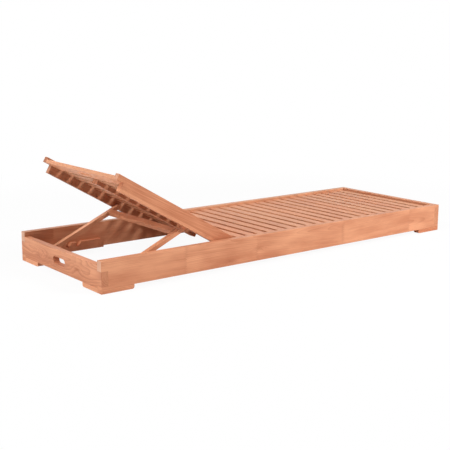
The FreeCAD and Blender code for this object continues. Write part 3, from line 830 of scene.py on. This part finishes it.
class LOUNGER_OT_dress_rails(Operator):
    """Wood of the four rails of the frame"""

    bl_idname = "lounger.dress_rails"
    bl_label = "Rails"

    def execute(self, context):
        dress_boards(
            context, ["side_rail_right"], LEVEL, ALONG_X, tone=0.06, spread=0.0, hue=0.03,
            pale_ends=True, ends_above=FINGER_BOTTOM, seed=13.70, mottle=0.6,
        )
        # Painted light: the left rail's yellower hue stands in for paler bounce light on its inner face.
        dress_boards(
            context, ["side_rail_left"], LEVEL, ALONG_X, tone=0.06, spread=0.0, hue=0.13,
            pale_ends=True, ends_above=FINGER_BOTTOM, seed=10.22, wander=0.15, mottle=0.6,
        )
        # Painted shade: sides darkens the head rail's broad faces against its top.
        dress_boards(
            context, ["head_rail"], LEVEL, ALONG_Y, tone=-0.12, spread=0.3, hue=0.02,
            figure=0.9, rings=2.2, ends=0.5, sides=0.13,
        )
        dress_boards(
            context, ["foot_rail"], LEVEL, ALONG_Y, tone=-0.02, spread=0.3, hue=0.03,
            figure=0.7, rings=2.2, ends=0.3,
        )
        return {"FINISHED"}


class LOUNGER_OT_dress_feet(Operator):
    """Wood of the foot strips at the corners"""

    bl_idname = "lounger.dress_feet"
    bl_label = "Feet"

    def execute(self, context):
        dress_boards(context, names_starting("foot_side"), LEVEL, ALONG_X, tone=-0.16, spread=0.4, ends=0.0)
        # Painted light: the foot end strips are paler than the foot side strips, standing in for the light on
        # their end faces.
        dress_boards(
            context, names_starting("foot_end"), LEVEL, ALONG_Y, tone=0.42, spread=0.3, hue=0.05, lift=1.04,
        )
        return {"FINISHED"}


class LOUNGER_OT_dress_seat(Operator):
    """Wood of the seat slats and of what carries them"""

    bl_idname = "lounger.dress_seat"
    bl_label = "Seat"

    def execute(self, context):
        # Painted shade: the slats' sides, facing into the gaps between them, are darkened.
        dress_boards(context, names_starting("seat_slat"), LEVEL, ALONG_Y, tone=0.34, sides=0.18)
        dress_boards(context, names_starting("seat_ledger", "seat_centre"), LEVEL, ALONG_X, tone=-0.04)
        return {"FINISHED"}


class LOUNGER_OT_dress_racks(Operator):
    """Wood of the notched racks"""

    bl_idname = "lounger.dress_racks"
    bl_label = "Racks"

    def execute(self, context):
        # Painted light and shade: the racks are made paler and their front and back faces darkened, so the
        # slot walls and top show as lit.
        dress_boards(context, ["rack_left", "rack_right"], LEVEL, ALONG_X, tone=0.35, spread=0.5, sides=0.4)
        dress_boards(context, ["rack_plugs"], LEVEL, ALONG_X, tone=-0.10)
        return {"FINISHED"}


class LOUNGER_OT_dress_backrest(Operator):
    """Wood of the backrest's boards, slats, head rail and batten"""

    bl_idname = "lounger.dress_backrest"
    bl_label = "Backrest"

    def execute(self, context):
        dress_boards(
            context, ["backrest_board_right"], BACKREST_TURN, ALONG_X, tone=-0.11, spread=0.0, hue=-0.02,
            pale_ends=True, ends=0.3,
        )
        # Painted shade: the left board is a darker, greyer copy of the right one, standing in for the shade
        # on its inner face.
        dress_boards(
            context, ["backrest_board_left"], BACKREST_TURN, ALONG_X, tone=-0.30, spread=0.0, hue=0.11,
            lift=0.80,
        )
        # Painted shade: the batten's sides are darkened.
        dress_boards(
            context, ["backrest_centre_batten"], BACKREST_TURN, ALONG_X, tone=0.20, spread=0.0, hue=0.05,
            sides=0.5,
        )
        # Painted light: the backrest's head rail is made paler, standing in for the light on its underside;
        # its sides are darkened as painted shade.
        dress_boards(
            context, ["backrest_head_rail"], BACKREST_TURN, ALONG_Y, tone=0.46, spread=0.3, hue=0.10,
            lift=1.18, sides=0.30,
        )
        # Painted shade: the slats' sides, facing into the gaps, are darkened.
        dress_boards(
            context, names_starting("backrest_slat"), BACKREST_TURN, ALONG_Y, tone=0.28, hue=0.10, sides=0.5,
        )
        return {"FINISHED"}


class LOUNGER_OT_dress_prop(Operator):
    """Wood of the prop's arms and bars"""

    bl_idname = "lounger.dress_prop"
    bl_label = "Prop"

    def execute(self, context):
        # Painted light and shade: the left arm is paler than the right, standing in for the light on its top,
        # and its sides are darkened.
        dress_boards(
            context, ["prop_arm_left"], PROP_TURN, ALONG_X, tone=0.42, spread=0.2, hue=0.10,
            sides=0.4, lift=1.16,
        )
        dress_boards(context, ["prop_arm_right"], PROP_TURN, ALONG_X, tone=0.15, spread=0.2)
        dress_boards(context, ["prop_cross_bar", "prop_foot_bar"], PROP_TURN, ALONG_Y, tone=-0.12)
        return {"FINISHED"}


class LOUNGER_OT_dress_fixings(Operator):
    """Steel of the pins, washers and frame screws"""

    bl_idname = "lounger.dress_fixings"
    bl_label = "Steel fixings"

    def execute(self, context):
        material = steel_material(context.scene.lounger_steel, "fixings_steel")
        for name in ("recline_pivot_pins", "prop_pivot_pins", "pivot_washers", "frame_screws"):
            dress(name, material)
        return {"FINISHED"}


def make_screw_tree(material):
    """Geometry nodes that set a countersunk screw head on each point, socket turned at random."""
    tree = bpy.data.node_groups.new("Screws On Points", "GeometryNodeTree")
    sockets = (("Points", "Geometry"), ("Head Radius", "Float"), ("Head Depth", "Float"),
               ("Socket Radius", "Float"), ("Tilt", "Vector"), ("Seed", "Int"))
    for name, kind in sockets:
        tree.interface.new_socket(name=name, in_out="INPUT", socket_type="NodeSocket" + kind)
    tree.interface.new_socket(name="Screws", in_out="OUTPUT", socket_type="NodeSocketGeometry")
    given = tree.nodes.new("NodeGroupInput").outputs
    result = tree.nodes.new("NodeGroupOutput").inputs
    head = add_node(tree, "GeometryNodeMeshCone", {
        "Vertices": HEAD_CORNERS, "Side Segments": 1, "Fill Segments": 1,
        "Radius Top": maths(tree, "MULTIPLY", given["Head Radius"], SHANK_SHARE),
        "Radius Bottom": given["Head Radius"], "Depth": given["Head Depth"],
    })
    socket = add_node(tree, "GeometryNodeMeshCylinder", {
        "Vertices": SOCKET_CORNERS, "Side Segments": 1, "Fill Segments": 1,
        "Radius": given["Socket Radius"],
        "Depth": maths(tree, "MULTIPLY", given["Head Depth"], SOCKET_SHARE),
    })
    cut = add_node(tree, "GeometryNodeMeshBoolean", {
        0: head.outputs["Mesh"], 1: socket.outputs["Mesh"],
    }, operation="DIFFERENCE", solver="EXACT")
    spin = add_node(tree, "FunctionNodeRandomValue", {
        "Min": (0.0, 0.0, 0.0), "Max": (0.0, 0.0, math.pi), "Seed": given["Seed"],
    }, data_type="FLOAT_VECTOR")
    turned = add_node(tree, "FunctionNodeRotateEuler", {
        "Rotation": spin.outputs[0], "Rotate By": given["Tilt"],
    }, rotation_type="EULER", space="OBJECT")
    placed = add_node(tree, "GeometryNodeInstanceOnPoints", {
        "Points": given["Points"], "Instance": cut.outputs["Mesh"], "Rotation": turned.outputs[0],
    })
    real = add_node(tree, "GeometryNodeRealizeInstances", {0: placed.outputs[0]})
    painted = add_node(tree, "GeometryNodeSetMaterial", {0: real.outputs[0], "Material": material})
    tree.links.new(painted.outputs[0], result[0])
    return tree


def add_screws(context, name, body, points, tilt, tree):
    """Screw heads on points as one plain mesh that rides on a body."""
    screws = context.scene.lounger_screws
    mesh = bpy.data.meshes.new(name + "_points")
    mesh.from_pydata([tuple(point) for point in points], [], [])
    maker = bpy.data.objects.new(name + "_maker", mesh)
    context.scene.collection.objects.link(maker)
    modifier = maker.modifiers.new("Screws", "NODES")
    modifier.node_group = tree
    values = {
        "Head Radius": screws.head_radius, "Head Depth": screws.head_depth,
        "Socket Radius": screws.socket_radius, "Tilt": tuple(tilt.to_euler("XYZ")), "Seed": screws.seed,
    }
    for item in tree.interface.items_tree:
        if item.in_out == "INPUT" and item.name in values:
            modifier[item.identifier] = values[item.name]
    made = maker.evaluated_get(context.evaluated_depsgraph_get())
    plain = bpy.data.meshes.new_from_object(made)
    if not plain.polygons:
        raise RuntimeError("no screws were made for " + name)
    plain.name = name
    bpy.data.objects.remove(maker)
    piece = bpy.data.objects.new(name, plain)
    context.scene.collection.objects.link(piece)
    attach(piece, body)


def middles(names, turn):
    """Middles of nodes along the turned axes."""
    return [turn.transposed() @ own_box(name, turn)[0] for name in names]


def seat_screw_points(sunk):
    """A point under each support of each seat slat."""
    points = []
    for slat in middles(names_starting("seat_slat"), LEVEL):
        for support in ("seat_centre_batten", "seat_ledger_left", "seat_ledger_right"):
            low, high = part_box(support)
            along = min(max(slat.x, low.x + SCREW_INSET), high.x - SCREW_INSET)
            points.append(Vector((along, (low.y + high.y) / 2, low.z + sunk)))
    return points


def backrest_screw_points(sunk):
    """A point under the batten for each backrest slat."""
    middle, half = own_box("backrest_centre_batten", BACKREST_TURN)
    under = (BACKREST_TURN.transposed() @ middle).z - half.z + sunk
    slats = middles(names_starting("backrest_slat"), BACKREST_TURN)
    return [BACKREST_TURN @ Vector((slat.x, 0.0, under)) for slat in slats]


class LOUNGER_OT_add_slat_screws(Operator):
    """Screws under the battens and ledgers that hold the slats"""

    bl_idname = "lounger.add_slat_screws"
    bl_label = "Slat screws"

    def execute(self, context):
        screws = context.scene.lounger_screws
        tree = make_screw_tree(steel_material(context.scene.lounger_steel, "slat_screw_steel"))
        sunk = screws.head_depth / 2 - screws.proud
        seat, back = seat_screw_points(sunk), backrest_screw_points(sunk)
        add_screws(context, "seat_slat_screws", "frame", seat, LEVEL, tree)
        add_screws(context, "backrest_slat_screws", "backrest", back, BACKREST_TURN, tree)
        return {"FINISHED"}


def add_lamp(context, name, place, size, power):
    """Square soft lamp, aimed at the lounger."""
    data = bpy.data.lights.new(name, "AREA")
    data.shape = "SQUARE"
    data.size = size
    data.energy = power
    lamp = bpy.data.objects.new(name, data)
    context.scene.collection.objects.link(lamp)
    lamp.location = place
    lamp.rotation_euler = (Vector(LAMP_TARGET) - lamp.location).to_track_quat("-Z", "Y").to_euler()


def mix_shaders(tree, output, share, first, second):
    """Sends a mix of two shaders to the tree's output node."""
    both = add_node(tree, "ShaderNodeMixShader", {0: share, 1: first.outputs[0], 2: second.outputs[0]})
    tree.links.new(both.outputs[0], tree.nodes[output].inputs["Surface"])


class LOUNGER_OT_set_stage(Operator):
    """Pale floor, soft studio light and the camera"""

    bl_idname = "lounger.set_stage"
    bl_label = "Stage"

    def execute(self, context):
        stage = context.scene.lounger_stage
        self.add_floor(context, stage)
        self.light_room(context, stage)
        for name, setting, place, size in LAMPS:
            add_lamp(context, name, place, size, getattr(stage, setting))
        self.add_camera(context, stage)
        context.scene.view_settings.view_transform = "Standard"
        return {"FINISHED"}

    def add_floor(self, context, stage):
        """Disc that the camera sees as nearly white by the lounger and plain white farther off."""
        mesh = bpy.data.meshes.new("floor")
        shape = bmesh.new()
        bmesh.ops.create_circle(shape, cap_ends=True, radius=FLOOR_RADIUS, segments=FLOOR_CORNERS)
        shape.to_mesh(mesh)
        shape.free()
        floor = bpy.data.objects.new("floor", mesh)
        context.scene.collection.objects.link(floor)
        material, tree, shader = start_material("studio_floor")
        shader.inputs["Base Color"].default_value = colour_of(stage.floor)
        shader.inputs["Roughness"].default_value = 1.0
        shader.inputs["Specular IOR Level"].default_value = 0.0
        white = add_node(tree, "ShaderNodeEmission", {"Color": WHITE, "Strength": 1.0})
        far = length_of(tree, add_node(tree, "ShaderNodeTexCoord").outputs["Object"])
        path = tree.nodes.new("ShaderNodeLightPath").outputs
        seen = smooth_step(tree, far, *FLOOR_FADE, low=stage.floor_white)
        seen = maths(tree, "MULTIPLY", path["Is Camera Ray"], seen)
        gloss = maths(tree, "MAXIMUM", path["Is Glossy Ray"], path["Is Transmission Ray"])
        gloss = maths(tree, "MULTIPLY", gloss, smooth_step(tree, far, *FLOOR_FADE))
        mix_shaders(tree, "Material Output", maths(tree, "MAXIMUM", seen, gloss), shader, white)
        mesh.materials.append(material)

    def light_room(self, context, stage):
        """Faint light from all around, and plain white where the room itself is seen."""
        world = bpy.data.worlds.new("studio")
        world.use_nodes = True
        tree = world.node_tree
        room = tree.nodes["Background"]
        room.inputs["Color"].default_value = WHITE
        room.inputs["Strength"].default_value = stage.sky
        white = add_node(tree, "ShaderNodeBackground", {"Color": WHITE, "Strength": 1.0})
        path = tree.nodes.new("ShaderNodeLightPath").outputs
        rays = [path[name] for name in ("Is Camera Ray", "Is Glossy Ray", "Is Transmission Ray")]
        mix_shaders(tree, "World Output", chain(tree, "MAXIMUM", rays), room, white)
        context.scene.world = world

    def add_camera(self, context, stage):
        """Camera at the photo's viewing angle."""
        data = bpy.data.cameras.new("photo_camera")
        data.lens = stage.lens
        data.sensor_width = SENSOR_WIDTH
        camera = bpy.data.objects.new("photo_camera", data)
        context.scene.collection.objects.link(camera)
        camera.location = CAMERA_PLACE
        camera.rotation_euler = [math.radians(angle) for angle in CAMERA_ANGLES]
        context.scene.camera = camera


PIECE_OPERATORS = (
    LOUNGER_OT_dress_rails,
    LOUNGER_OT_dress_feet,
    LOUNGER_OT_dress_seat,
    LOUNGER_OT_dress_racks,
    LOUNGER_OT_dress_backrest,
    LOUNGER_OT_dress_prop,
    LOUNGER_OT_dress_fixings,
    LOUNGER_OT_add_slat_screws,
    LOUNGER_OT_set_stage,
)
SETTINGS = {
    "lounger_wood": LoungerWood,
    "lounger_steel": LoungerSteel,
    "lounger_screws": LoungerScrews,
    "lounger_stage": LoungerStage,
}


class LOUNGER_PT_panel(Panel):
    """Steps that dress the lounger, in order"""

    bl_idname = "LOUNGER_PT_panel"
    bl_label = "Lounger"
    bl_space_type = "VIEW_3D"
    bl_region_type = "UI"
    bl_category = "Lounger"

    def draw(self, context):
        for operator in PIECE_OPERATORS:
            self.layout.operator(operator.bl_idname)
        for settings in SETTINGS:
            group = getattr(context.scene, settings)
            for name in group.bl_rna.properties.keys():
                if name not in {"rna_type", "name"}:
                    self.layout.prop(group, name)


CLASSES = (*SETTINGS.values(), *PIECE_OPERATORS, LOUNGER_PT_panel)


def register():
    """Registers the classes and hangs their settings on the scene."""
    for cls in CLASSES:
        bpy.utils.register_class(cls)
    for name, cls in SETTINGS.items():
        setattr(bpy.types.Scene, name, PointerProperty(type=cls))


def unregister():
    """Takes the settings and the classes away again."""
    for name in SETTINGS:
        delattr(bpy.types.Scene, name)
    for cls in reversed(CLASSES):
        bpy.utils.unregister_class(cls)


def main():
    """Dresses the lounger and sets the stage."""
    register()
    bpy.ops.lounger.dress_rails()
    bpy.ops.lounger.dress_feet()
    bpy.ops.lounger.dress_seat()
    bpy.ops.lounger.dress_racks()
    bpy.ops.lounger.dress_backrest()
    bpy.ops.lounger.dress_prop()
    bpy.ops.lounger.dress_fixings()
    bpy.ops.lounger.add_slat_screws()
    bpy.ops.lounger.set_stage()


if __name__ == "__main__":
    main()
